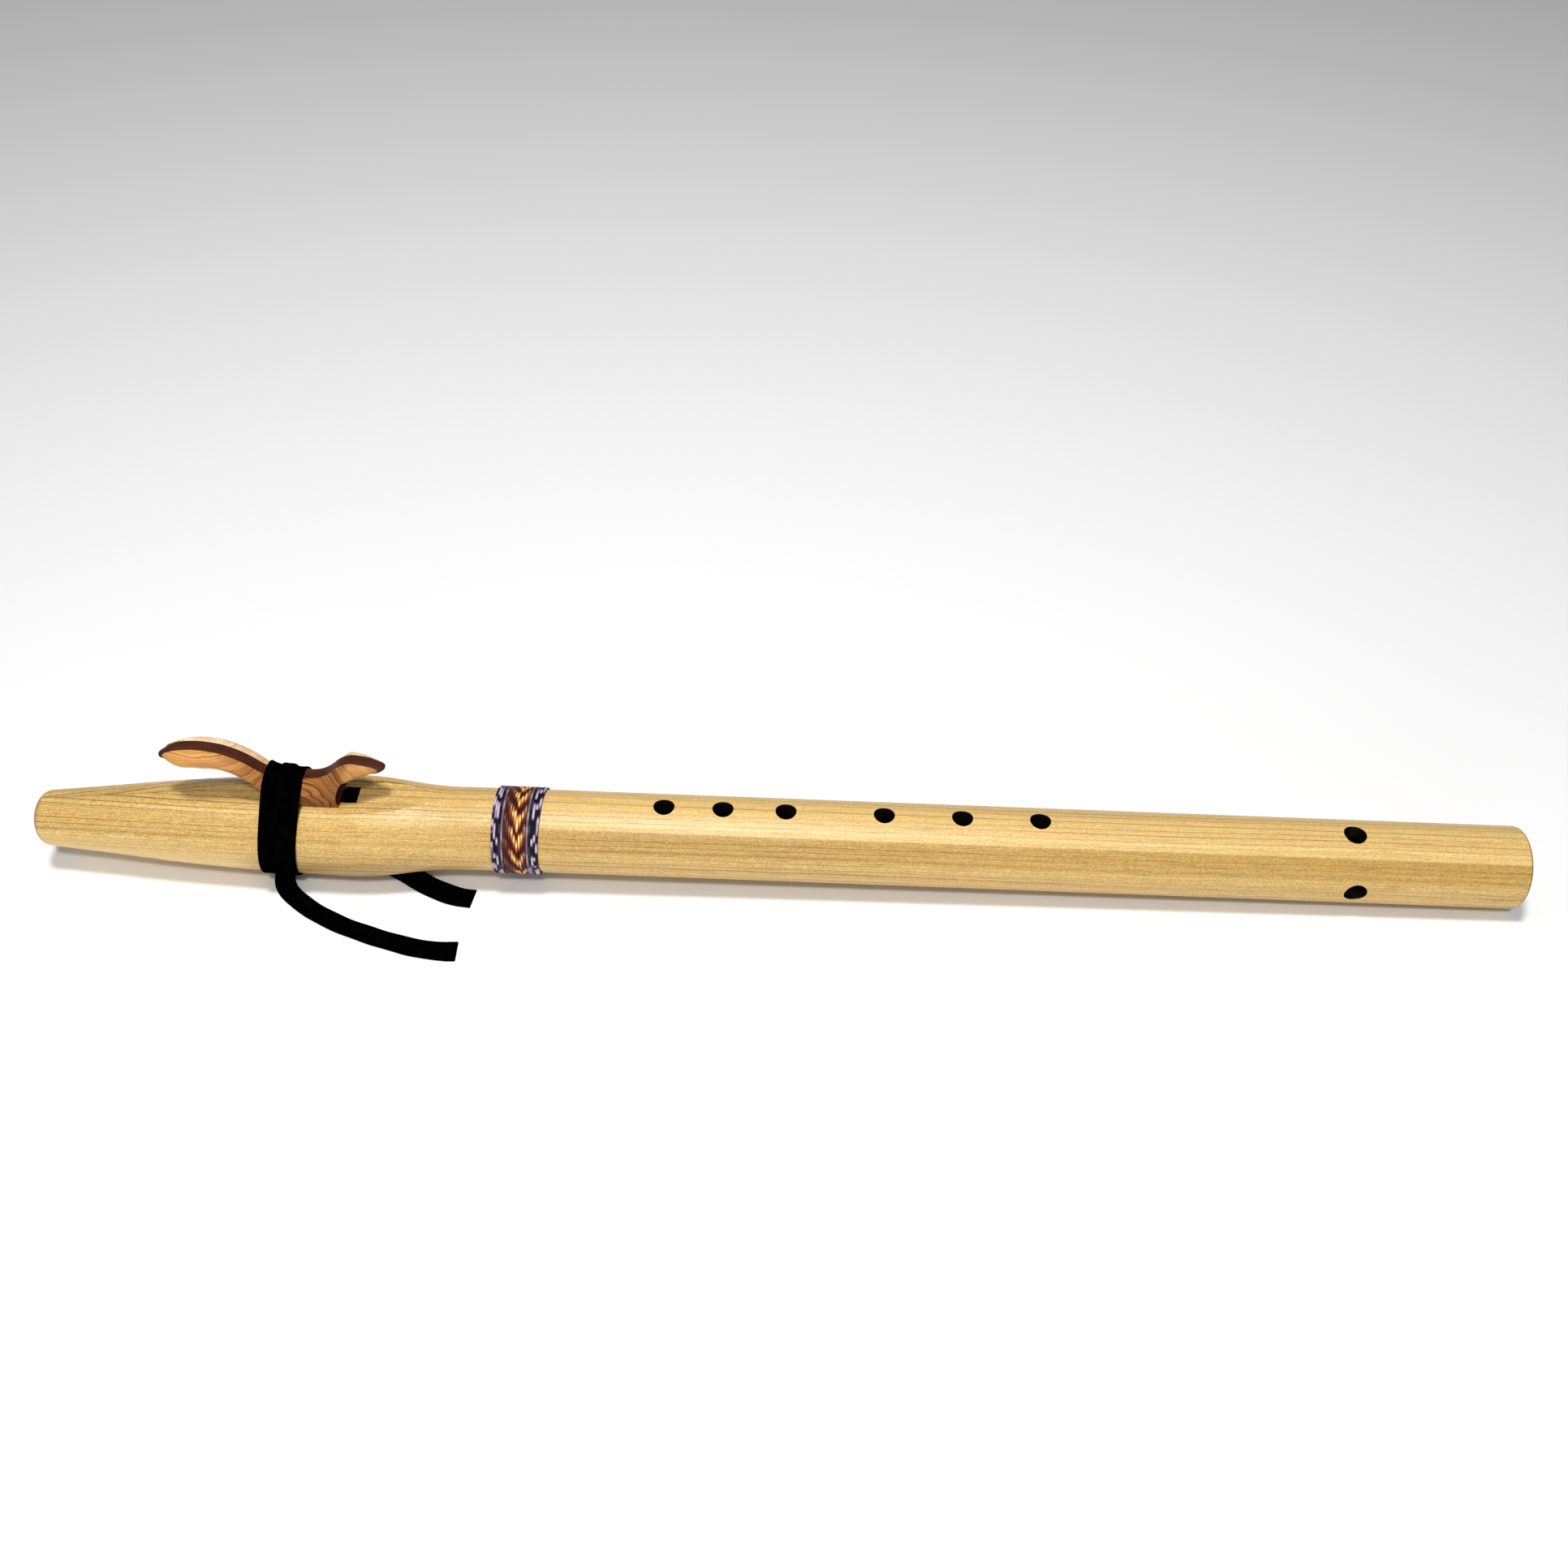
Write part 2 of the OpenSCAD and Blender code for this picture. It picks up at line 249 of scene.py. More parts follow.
def flute_coords(nt):
    """station, side and height along the flute, in metres, and a function that scales and shifts them"""
    at = nt.nodes.new("ShaderNodeTexCoord").outputs["Object"]
    x, y, z = nd(nt, "ShaderNodeSeparateXYZ", ins={0: at}).outputs
    cos, sin = math.cos(LAY), math.sin(LAY)
    u0, h0 = (LZ * sin - LX * cos) / MM, -(LZ * cos + LX * sin) / MM
    u = math_(nt, "MULTIPLY_ADD", x, cos, math_(nt, "MULTIPLY_ADD", z, -sin, u0))
    h = math_(nt, "MULTIPLY_ADD", x, sin, math_(nt, "MULTIPLY_ADD", z, cos, h0))
    own = nd(nt, "ShaderNodeCombineXYZ", ins={0: u, 1: y, 2: h}).outputs[0]

    def place(scale, loc=(0, 0, 0)):
        return mapped(nt, own, scale, loc)

    return u, y, h, place


def span(nt, v, a, b):
    """0 below a, 1 above b, both in metres"""
    n = nd(nt, "ShaderNodeMapRange", interpolation_type="SMOOTHSTEP", ins={0: v, 1: a, 2: b})
    return n.outputs[0]


def below(nt, v, a, b):
    """1 below a, 0 above b"""
    return math_(nt, "SUBTRACT", 1.0, span(nt, v, a, b))


def chain(nt, op, values):
    """one value after another, joined by a two-value operation"""
    out = values[0]
    for v in values[1:]:
        out = math_(nt, op, out, v)
    return out


def times(nt, *values):
    return chain(nt, "MULTIPLY", values)


def plus(nt, *values):
    return chain(nt, "ADD", values)


def most(nt, *values):
    return chain(nt, "MAXIMUM", values)


def radius(nt, y, h):
    """distance from an axis"""
    return math_(nt, "SQRT", plus(nt, times(nt, y, y), times(nt, h, h)))


def line_of(nt, depth):
    """a place for a noise that changes in one direction only"""
    return nd(nt, "ShaderNodeCombineXYZ", ins={0: depth}).outputs[0]


def lines(nt, depth, scale, width):
    """thin lines where a one-dimensional noise passes its middle"""
    off = math_(nt, "ABSOLUTE", ripple(nt, line_of(nt, depth), scale))
    return levels(nt, times(nt, off, 1 / width), (0.0, 1), (0.35, 0.75), (1.0, 0))


# ------------------------------------------------ body wood
WOOD_LIGHT, WOOD_MID, WOOD_WARM = srgb(238, 203, 130), srgb(206, 167, 92), srgb(224, 178, 98)
WOOD_DARK, WOOD_LINE = srgb(158, 118, 52), srgb(104, 72, 26)
# painted shade inside the bores and holes: distance from the axis, first and last station, in metres
BORE, HOLES = (0.01597, 0.0935, 0.5795), (0.01640, 0.21, 0.54)
BLOW_HOLE, AIR_CHAMBER = (0.00425, -0.0043, 0.0325), (0.0114, 0.0315, 0.0940)
WINDOW_TOP, WINDOW_HALF, WINDOW_AT, WINDOW_REACH = 0.01625, 0.00445, 0.1205, 0.0031
TONE_STEP = 0.0123, 0.0128         # height at which the barrel's tone steps, along its whole length


def tube(nt, r, u, size):
    """1 inside a round bore, 0 outside"""
    limit, first, last = size
    return times(nt, math_(nt, "LESS_THAN", r, limit), math_(nt, "GREATER_THAN", u, first),
                 math_(nt, "LESS_THAN", u, last))


def body_wood(name, side):
    """straight-grained pale wood; a solid texture, so its lines run out where the head tapers"""
    m, nt, bs = material(name)
    u, y, h, place = flute_coords(nt)
    # depth in the growth layers, which slant away from the glue joint, with waves along the wood
    depth = plus(nt, times(nt, h, 0.76), times(nt, y, 0.65 if side < 0 else -0.5))
    neck = times(nt, span(nt, u, 0.085, 0.14), below(nt, u, 0.15, 0.2))
    for scale, size, at_neck in (((2.2, 9, 9), 0.0050, 0), ((9, 34, 34), 0.0013, 0),
                                 ((24, 60, 60), 0.0005, 0.0020)):
        wave = ripple(nt, place(scale, (1.7 * side, 2, 0)), 1.0)
        depth = plus(nt, depth, times(nt, wave, math_(nt, "MULTIPLY_ADD", neck, at_neck, size)))
    one = line_of(nt, depth)
    band = noise(nt, one, 330.0, 3.0, 0.6)
    wide = noise(nt, one, 95.0, 1.0, 0.5)
    streak = noise(nt, place((60, 2100, 2100)), 1.0, 3.0, 0.7)
    pores = noise(nt, place((380, 3600, 3600), (2, 1, 0)), 1.0, 2.0, 0.6)
    mottle = noise(nt, place((1100, 2300, 2300), (5, 1, 0)), 1.0, 2.0, 0.7)
    col = mix(nt, levels(nt, band, (0.34, 0), (0.66, 1)), WOOD_MID, WOOD_LIGHT)
    col = mix(nt, levels(nt, wide, (0.38, 0), (0.62, 0.65)), col, WOOD_WARM)
    col = mix(nt, levels(nt, streak, (0.32, 0.62), (0.50, 0), (0.70, 0)), col, WOOD_DARK)
    # one growth layer after another: a slow darkening, a thin dark line, a sharp change to the next
    fade = noise(nt, place((6, 40, 40), (8, 3, side)), 1.0, 2.0, 0.5)
    fade = levels(nt, fade, (0.34, 0.45), (0.62, 1.0))
    for per_m, wander, weight, offset in ((430.0, 2.6, 1.0, 0.0), (980.0, 3.0, 0.62, 0.31)):
        ring = math_(nt, "MULTIPLY_ADD", depth, per_m, times(nt, noise(nt, one, 130.0, 1.0, 0.5), wander))
        ring = math_(nt, "FRACT", plus(nt, ring, offset))
        ring = levels(nt, ring, (0.0, 0.25), (0.06, 0), (0.50, 0.04), (0.80, 0.26), (0.89, 1.0),
                      (0.97, 0.8), (1.0, 0.25))
        some = levels(nt, noise(nt, one, per_m * 0.45, 1.0, 0.5), (0.40, 0.05), (0.56, 1.0))
        col = mix(nt, times(nt, ring, fade, some, weight), col, WOOD_LINE)
    # fine grain
    col = mix(nt, levels(nt, mottle, (0.36, 0.50), (0.52, 0), (0.62, 0)), col, WOOD_DARK)
    col = mix(nt, levels(nt, mottle, (0.54, 0), (0.70, 0.42)), col, srgb(252, 228, 172))
    col = mix(nt, levels(nt, pores, (0.60, 0), (0.72, 0.45)), col, srgb(126, 92, 44))
    # a paler underside to the mouth end, and a duller one to the swelling
    low = below(nt, h, -0.008, 0.004)
    dull = times(nt, low, span(nt, u, 0.072, 0.096), below(nt, u, 0.128, 0.160))
    col = mix(nt, dull, col, srgb(226, 220, 208), "MULTIPLY")
    pale = times(nt, low, below(nt, u, 0.070, 0.090), 0.5)
    col = mix(nt, pale, col, srgb(250, 216, 146))
    # the barrel's tone steps along its length: darker below the step, darkest just under it, lighter above
    barrel = span(nt, u, 0.14, 0.21)
    under = times(nt, below(nt, h, 0.0122, 0.0129), span(nt, h, 0.0026, 0.0046),
                  math_(nt, "MULTIPLY_ADD", barrel, 0.65, 0.35))
    col = mix(nt, under, col, srgb(236, 233, 222), "MULTIPLY")
    edge = times(nt, below(nt, h, *TONE_STEP), span(nt, h, 0.0066, 0.0102), barrel)
    col = mix(nt, edge, col, srgb(243, 241, 233), "MULTIPLY")
    col = mix(nt, times(nt, span(nt, h, *TONE_STEP), barrel, 0.15), col, srgb(253, 221, 154))
    # glue joint
    off_joint = math_(nt, "ABSOLUTE", y)
    glue = below(nt, off_joint, 0.00006, 0.00024)
    col = mix(nt, times(nt, glue, 0.62), col, srgb(84, 56, 26))
    # painted shade, dark inside the bores, the holes and the window; the head's axis droops
    drop = most(nt, math_(nt, "MULTIPLY_ADD", u, -math.sin(DROOP), PIVOT / MM * math.sin(DROOP)), 0.0)
    r_axis, r_head = radius(nt, y, h), radius(nt, y, plus(nt, h, drop))
    window = times(nt, math_(nt, "LESS_THAN", h, WINDOW_TOP), math_(nt, "GREATER_THAN", h, 0.0),
                   math_(nt, "LESS_THAN", off_joint, WINDOW_HALF),
                   math_(nt, "COMPARE", u, WINDOW_AT, WINDOW_REACH))
    inside = most(nt, tube(nt, r_axis, u, BORE), tube(nt, r_axis, u, HOLES), window,
                  tube(nt, r_head, u, BLOW_HOLE), tube(nt, r_head, u, AIR_CHAMBER))
    col = mix(nt, inside, col, srgb(14, 9, 6))
    # darker end grain and painted shade at both rims, where they round away from the light
    rim = most(nt, span(nt, u, 0.5797, 0.5805), below(nt, u, -0.0049, -0.0018))
    col = mix(nt, times(nt, rim, 0.85), col, srgb(112, 78, 36))
    surface(nt, bs, col, levels(nt, streak, (0.30, 0.52), (0.65, 0.40)), 0.4, (0.10, 0.3),
            [(0.3, 0.0002, streak), (0.2, 0.00015, mottle)])
    return m


# ------------------------------------------------ block woods
def core_wood():
    m, nt, bs = material("dark_wood")
    grain = noise(nt, coords(nt, (45, 1100, 1100)), 1.0, 4.0, 0.6)
    broad = noise(nt, coords(nt, (30, 190, 190), (1, 2, 3)), 1.0, 2.0, 0.5)
    col = mix(nt, levels(nt, grain, (0.35, 0), (0.68, 1)), srgb(38, 14, 7), srgb(78, 35, 19))
    col = mix(nt, levels(nt, broad, (0.35, 0), (0.75, 0.6)), col, srgb(90, 43, 25))
    surface(nt, bs, col, 0.5, 0.15, (0.04, 0.25), [(0.3, 0.0002, grain)])
    return m


def figured_wood(name, light, mid, dark, deep, seed):
    """wood with curls in its figure: pale at the tail, redder in the body"""
    m, nt, bs = material(name)
    u, y, h, place = flute_coords(nt)
    warp = ripple(nt, place((42, 60, 95), (seed, 0, 0)), 1.0)
    curl = ripple(nt, place((160, 160, 220), (seed, 4, 0)), 1.0)
    body = span(nt, u, 0.082, 0.100)
    tail = math_(nt, "SUBTRACT", 1.0, body)
    # the layers are level in the tail, and in arcs across the body
    arc = radius(nt, math_(nt, "SUBTRACT", u, 0.101), math_(nt, "SUBTRACT", h, 0.014))
    depth = plus(nt, times(nt, tail, h), times(nt, body, arc), times(nt, y, 0.35),
                 times(nt, warp, 0.0065), times(nt, curl, 0.0016))
    broad = noise(nt, line_of(nt, depth), 420.0, 2.0, 0.5)
    pores = noise(nt, place((420, 1900, 1900), (seed, 2, 1)), 1.0, 3.0, 0.6)
    cloud = noise(nt, place((60, 120, 120), (seed, 7, 1)), 1.0, 2.0, 0.5)
    col = mix(nt, levels(nt, broad, (0.36, 0), (0.62, 1)), mid, light)
    red = math_(nt, "MULTIPLY_ADD", span(nt, u, 0.060, 0.096), 0.94,
                math_(nt, "MULTIPLY_ADD", cloud, 0.6, -0.22))
    col = mix(nt, most(nt, red, 0.0), col, dark)
    fine = lines(nt, depth, 900.0, 0.09)
    col = mix(nt, times(nt, fine, math_(nt, "MULTIPLY_ADD", body, 0.30, 0.45)), col, deep)
    glow = lines(nt, plus(nt, depth, 0.004), 700.0, 0.08)
    col = mix(nt, times(nt, glow, math_(nt, "MULTIPLY_ADD", body, -0.28, 0.50)), col, light)
    col = mix(nt, levels(nt, pores, (0.56, 0), (0.76, 0.4)), col, deep)
    # painted light on the head's cheek facet, which faces up to the lamps
    lit_cheek = times(nt, span(nt, u, 0.1195, 0.1240), span(nt, h, 0.0285, 0.0310))
    col = mix(nt, times(nt, lit_cheek, 0.30), col, light)
    # painted shade along the tail's lower edge, and low on the body, where the block meets the nest
    col = mix(nt, times(nt, below(nt, h, 0.0338, 0.0366), tail, 0.42), col, dark)
    col = mix(nt, times(nt, below(nt, h, 0.0163, 0.0225), 0.40), col, deep)
    # darker end grain and painted shade on the hollowed chest and the throat, inside the outer face
    inside = below(nt, math_(nt, "ABSOLUTE", y), 0.00690, 0.00705)
    chest = times(nt, inside, span(nt, u, 0.1158, 0.1160), below(nt, h, 0.0251, 0.0256))
    throat = times(nt, inside, span(nt, u, 0.1175, 0.1178), below(nt, h, 0.0268, 0.0274))
    col = mix(nt, most(nt, chest, throat), col, srgb(58, 22, 11))
    surface(nt, bs, col, 0.52, 0.16, (0.03, 0.25), [(0.25, 0.0002, broad)])
    return m


def suede():
    m, nt, bs = material("suede")
    nap = noise(nt, coords(nt), 2600.0, 4.0, 0.7)
    cloud = noise(nt, coords(nt, loc=(3, 1, 2)), 190.0, 3.0, 0.6)
    col = mix(nt, levels(nt, cloud, (0.35, 0), (0.7, 1)), (0.0002, 0.0002, 0.0003),
              (0.0014, 0.0012, 0.0016))
    surface(nt, bs, col, 0.95, 0.0, NO_COAT, [(0.55, 0.0004, nap), (0.35, 0.0008, cloud)])
    return m


SUEDE = suede()

# ------------------------------------------------ the lace's free ends (the cords)
# routes from the knot to the cut end: station, side, and height above the table, in mm
FRONT = [[93, 14.5, 2.4], [91.4, 10, 0.9], [89.8, 5, 0.65], [88.7, -1, 0.65], [88.4, -7, 0.65],
         [90, -13, 0.65], [94.6, -19, 0.65], [101.6, -24.6, 0.65], [110.6, -30.2, 0.65],
         [120, -34.6, 0.65], [130, -38.4, 0.65], [140, -41.6, 0.65], [149, -43.9, 0.65],
         [157, -45, 0.65], [164.4, -44.9, 0.65]]
BACK = [[104, 13.8, 2.4], [110, 11.8, 0.9], [116, 8.2, 0.65], [123, 3.6, 0.65], [130, -1, 0.65],
        [137, -5.4, 0.65], [143, -9.2, 0.65], [149, -12.8, 0.65], [155, -15.6, 0.65],
        [161, -17.4, 0.65], [166.2, -18.2, 0.65]]


def lace_end(name, node, route, w, t, waist):
    """a loose end of the lace along its route, narrower by waist at its middle"""
    path = soft(route, 6) + [LX, 0, 0]
    sec = strip_section(w, t, 11)
    n = len(path)
    verts = []
    run = 0.0
    for i, p in enumerate(path):
        d = path[min(i + 1, n - 1)] - path[max(i - 1, 0)]
        side = np.array([d[1], -d[0], 0]) / math.hypot(d[0], d[1])
        if i:
            run += np.linalg.norm(path[i] - path[i - 1])
        # edges that wander a little, as cut suede does, and a surface that isn't quite flat
        for a, b in sec:
            s = 0.98 + 0.02 * math.sin(run * 0.41 + (1.0 if a > 0 else 3.1))
            s *= 1 - waist * math.sin(math.pi * min(1.0, i / (n - 1) * 1.04)) ** 0.5
            lift = 0.08 * (1 + math.sin(run * 0.33 + a * 0.35)) * (b > 0)
            verts.append(p + side * a * s + np.array([0, 0, b - lift]))
    faces = grid_faces(n, len(sec))
    faces.append(tuple(range(len(sec) - 1, -1, -1)))
    faces.append(tuple((n - 1) * len(sec) + j for j in range(len(sec))))
    ob = piece(name, np.array(verts) / MM, faces, SUEDE, "suede", "block", sharp=60)
    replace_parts(ob, node)


# ------------------------------------------------ side view of the block, from tail to beak
BASE_H = NEST_H + 0.05              # just clear of the nest
# rungs: station and height of the underside, of the top, the two points' shifts on the outer face, and
# how far the top's shift is a straight bevel
BODY_RUNGS = [
    [56.6, 34, 55.3, 38.2, 8, 1.0, 8.4, -1.2, 0], [60.5, 34, 60, 39.5, 6, 1.1, 6, -2.2, 0],
    [66, 34, 66.5, 39.85, 3.4, 0.8, 3.2, -2.45, 0], [72, 34.3, 73.5, 38.8, 1, 0.6, 1, -2.4, 0],
    [77.6, 33.5, 79, 36.6, 0, 0.3, 0, -2.3, 0], [81.6, 31.3, 84, 33.4, 0, 0.2, 0, -2.4, 0.1],
    [85.4, 28.1, 88, 29.9, 0, 0.2, 0, -2.9, 0.3], [89, 23.6, 91, 27.7, 0, 0, 0, -3.6, 0.6],
    [91.6, 19.8, 94, 27, 0, 0, 0, -4.4, 0.9], [92.5, BASE_H, 97.5, 26.9, 0, 0, 0, -4.9, 1],
    [100, BASE_H, 101.5, 26.8, 0, 0, 0, -4.9, 1], [108, BASE_H, 105.5, 26.95, 0, 0, 0, -4.9, 1],
    [116.8, BASE_H, 109.5, 27.4, 0, 0, 0, -4.9, 1], [116.5, 18.8, 112.4, 28.5, 0, 0, 0, -4.9, 1],
    [117.1, 22.4, 115.4, 30.6, 0, 0, 0, -4.9, 1], [118.9, 26.6, 118.6, 33.5, 0, 0.3, 0, -4.8, 0.6],
    [122, 28.2, 123, 35.5, -1.5, 1, -1.5, -4.5, 0.1], [125.2, 29, 127, 35.1, -3.2, 1, -4.2, -3.9, 0],
    [128, 29.9, 130, 34.5, -5.2, 0.9, -6.4, -3.2, 0]]
CORE_RUNGS = soft([[50.8, 35.1, 50.8, 35.6], [53, 34.6, 52.6, 36.8]] + [r[:4] for r in BODY_RUNGS]
                  + [[131, 30.7, 132.5, 33.6], [134.4, 31, 135, 33], [136.1, 31.9, 136.2, 32.3]], 6)
SIDE_RUNGS = soft([[53.2, 35.8, 53.1, 36.8, 8.4, -0.1, 8.5, -0.7, 0],
                   [54.4, 34.7, 53.9, 37.4, 8.2, 0.3, 8.3, -0.9, 0]]
                  + BODY_RUNGS + [[131, 30.8, 132.3, 33.7, -7.6, 0.5, -8.4, -2, 0],
                                  [133.4, 31.6, 133.6, 32.7, -9.6, 0.1, -9.6, -0.6, 0]], 6)
CORE_HALF, BLOCK_HALF = 2.6, 7.2    # half thicknesses of the dark core and of the whole block
# the core's tips: their stations, how far they are rounded back, and over what length
TIPS, TIP_LEN, TIP_REACH = (50.8, 136.2), 2.3, 6.0


def round_over(side, n=12):
    """rings of (side, share of the shift across the layer, share of it in a rounding)"""
    top = math.radians(76)
    out = []
    for i in range(n + 1):
        a = top * i / n
        share = math.sin(a) / math.sin(top)
        out.append((side * (CORE_HALF + (BLOCK_HALF - CORE_HALF) * share), share,
                    (1 - math.cos(a)) / (1 - math.cos(top))))
    return out


def top_shift(r, share, rounded):
    """how far a rung's top is lowered, part bevel and part rounding"""
    return r[7] * (r[8] * share + (1 - r[8]) * rounded)


# ------------------------------------------------ the lace's band round the block and the head
LEAN, BAND_AT = math.radians(7.5), 93.4     # the band leans back towards its top
LACE_W, LACE_T, PRESSED = 9.2, 1.05, 0.35   # width, thickness, and how much thinner it is underneath
STATIONS = np.arange(76.0, 116.0, 1.0)      # 1 mm apart


def outline(u, n=161):
    """the inside of the lace at a station, evenly spaced from the top round the +Y side: (side, height)"""
    r, low = head_r(u) + 0.2, -droop(u)
    rung = np.array([np.interp(u, SIDE_RUNGS[:, 2], SIDE_RUNGS[:, k]) for k in range(9)])
    # straight over the top of the block, and nowhere more than a little above it
    top = min(29.35 - (u - 78) / 17, rung[3] + 0.12)
    shoulder = [[y + 0.1, top + 0.97 * top_shift(rung, k, q)] for y, k, q in round_over(1, 8)]
    tent = np.array([[0, top]] + shoulder + [[7.3, 21]])    # the last is low on the block's side
    half = []
    for angle in np.radians(np.linspace(90, -90, 361)):
        # stretched over whichever reaches further out, the block or the head
        out = np.array([math.cos(angle), math.sin(angle)])
        reach = tent @ out
        on_head = np.array([0, low]) + r * out
        half.append(tent[reach.argmax()] if reach.max() > low * out[1] + r else on_head)
    ring = np.array(half + [[-y, h] for y, h in half[-2::-1]])
    run = np.concatenate([[0], np.cumsum(np.linalg.norm(np.diff(ring, axis=0), axis=1))])
    at = np.linspace(0, run[-1], n)
    return np.stack([np.interp(at, run, ring[:, 0]), np.interp(at, run, ring[:, 1])], 1)[:-1]


RINGS = np.array([outline(u) for u in STATIONS])
for _ in range(3):          # the corners of the block are rounded by the suede
    RINGS = RINGS * 0.5 + (np.roll(RINGS, 1, 1) + np.roll(RINGS, -1, 1)) * 0.25
tangent = np.roll(RINGS, -1, 1) - np.roll(RINGS, 1, 1)
NORMALS = np.stack([-tangent[..., 1], tangent[..., 0]], -1)
NORMALS *= 1 / np.linalg.norm(NORMALS, axis=-1, keepdims=True)     # outward


def ring_at(table, u, j):
    """a table's point j at a station between its rings"""
    f = np.clip(u - STATIONS[0], 0, len(STATIONS) - 1.001)
    i = int(f)
    return table[i, j] * (1 - (f - i)) + table[i + 1, j] * (f - i)


def step(x, a, b):
    """0 below a, 1 above b, smooth between"""
    t = min(1.0, max(0.0, (x - a) / (b - a)))
    return t * t * (3 - 2 * t)


def lace_turn(name, centre, under_edge, phase):
    """one turn of the lace; where it crosses the turn under it, it climbs onto that turn"""
    count = RINGS.shape[1]
    verts = []
    for j in range(count):
        h0 = ring_at(RINGS, BAND_AT, j)[1]
        low = step(-h0, 6, 17)      # 1 underneath, where the flute's weight presses the lace thin
        t = LACE_T - PRESSED * low
        sec = strip_section(LACE_W, t, 13)
        turn = 2 * math.pi * j / count
        # laid by hand, it wanders a little along the flute
        c = centre + 0.22 * math.sin(turn + phase) + 0.12 * math.sin(3 * turn + 1)
        for a, b in sec:
            h = h0
            for _ in range(3):      # the station depends on the height, through the lean
                u = BAND_AT + (a + c + h * math.sin(LEAN)) / math.cos(LEAN)
                y, h = ring_at(RINGS, u, j)
            out_y, out_h = ring_at(NORMALS, u, j)
            base = t / 2 + 0.04     # half its thickness off what it is wound round
            if under_edge is not None:
                over = 1 - step(a + c, under_edge - 0.2, under_edge + 1.5)
                base += over * (1.0 - 0.42 * low)
            base += 0.05 * math.sin(a * 1.1 + turn * 5) * (1 - low)
            verts.append((u, y + out_y * (base + b), h + out_h * (base + b)))
    faces = [f[::-1] for f in grid_faces(count, len(sec), close_rows=True)]
    return piece(name, to_row(verts), faces, SUEDE, "suede", "block", sharp=60)


turn_a = lace_turn("lace_turn_mouth_side", -2.6, None, 0.3)
lace_turn("lace_turn_foot_side", 2.6, 1.9, 2.0)
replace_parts(turn_a, "lace_band")


# ------------------------------------------------ the knot
def knot():
    """an overhand knot of the same lace, pulled tight and lying flat against the far side"""
    mid = np.array([LX + 98.5, 17.5, 4.3])
    n = 150
    t = np.linspace(0, 2 * math.pi, n, endpoint=False)
    # a trefoil, drawn out along the flute
    line = np.stack([6.6 * (np.sin(t) + 0.55 * np.sin(2 * t)) / 1.35,
                     2.1 * (np.cos(t) - 1.15 * np.cos(2 * t)) / 1.9, -1.9 * np.sin(3 * t)], 1)
    d = np.roll(line, -1, 0) - np.roll(line, 1, 0)
    d /= np.linalg.norm(d, axis=1, keepdims=True)
    sec = strip_section(4.6, 1.2, 7)        # the lace is folded to half its width
    verts = []
    for i in range(n):
        # the lace's face is turned away from the middle of the knot
        out = line[i] * [0.25, 1, 1] + 1e-3
        out -= d[i] * (out @ d[i])
        out /= np.linalg.norm(out)
        side = np.cross(d[i], out)
        for a, b in sec:
            verts.append(mid + line[i] + side * a + out * b)
    verts = np.array(verts)
    verts[:, 2] = np.clip(verts[:, 2], 0.3, 8.1)        # pressed between the table and the head
    verts[:, 1] = np.clip(verts[:, 1], 13.7, 21.5)
    faces = grid_faces(n, len(sec), close_rows=True)
    return piece("lace_overhand", verts / MM, faces, SUEDE, "suede", "block", sharp=60)


knot_ob = knot()
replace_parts(knot_ob, "lace_knot")
lace_end("lace_end_front", "lace_tail_front", FRONT, 9.6, 1.2, 0.16)
lace_end("lace_end_back", "lace_tail_back", BACK, 9.6, 1.2, 0.0)

# ------------------------------------------------ the carved block in three layers
def layer(name, node, grid, mat, slot_name, outward):
    """a layer of the block, from its grid of (station, height, side)

    The grid runs by ring across, by rung along, and by point up.
    """
    g = np.array(grid)
    rings, rungs, cols = g.shape[:3]
    verts, index, faces = [], {}, []

    def vert(i, j, c):
        key = (i, j, c)
        if key not in index:
            u, h, y = g[i, j, c]
            index[key] = len(verts)
            verts.append((u, y, h))
        return index[key]

    last = rings - 1
    for i, flip in ((0, 1), (last, 0)):                 # the two faces
        for j in range(rungs - 1):
            for c in range(cols - 1):
                q = [vert(i, j, c), vert(i, j + 1, c), vert(i, j + 1, c + 1), vert(i, j, c + 1)]
                faces.append(q[::-1] if flip else q)
    for i in range(last):                               # under, top, tail and beak
        for j in range(rungs - 1):
            faces.append([vert(i, j, 0), vert(i, j + 1, 0), vert(i + 1, j + 1, 0), vert(i + 1, j, 0)])
            faces.append([vert(i, j, cols - 1), vert(i + 1, j, cols - 1),
                          vert(i + 1, j + 1, cols - 1), vert(i, j + 1, cols - 1)])
        for c in range(cols - 1):
            faces.append([vert(i, 0, c), vert(i + 1, 0, c), vert(i + 1, 0, c + 1), vert(i, 0, c + 1)])
            faces.append([vert(i, rungs - 1, c), vert(i, rungs - 1, c + 1),
                          vert(i + 1, rungs - 1, c + 1), vert(i + 1, rungs - 1, c)])
    if outward > 0:
        faces = [f[::-1] for f in faces]
    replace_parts(piece(name, to_row(verts), faces, mat, slot_name, "block", sharp=38), node)


CORE = core_wood()
NEAR_WOOD = figured_wood("figured_wood_near", srgb(240, 184, 106), srgb(206, 138, 68),
                         srgb(140, 78, 34), srgb(84, 36, 14), 1.7)
FAR_WOOD = figured_wood("figured_wood_far", srgb(250, 234, 196), srgb(238, 212, 166),
                        srgb(222, 180, 128), srgb(168, 116, 70), 5.3)


def up(low, top, y, n=5):
    """points from a rung's underside to its top"""
    return [(*(low + (top - low) * c / (n - 1)), y) for c in range(n)]


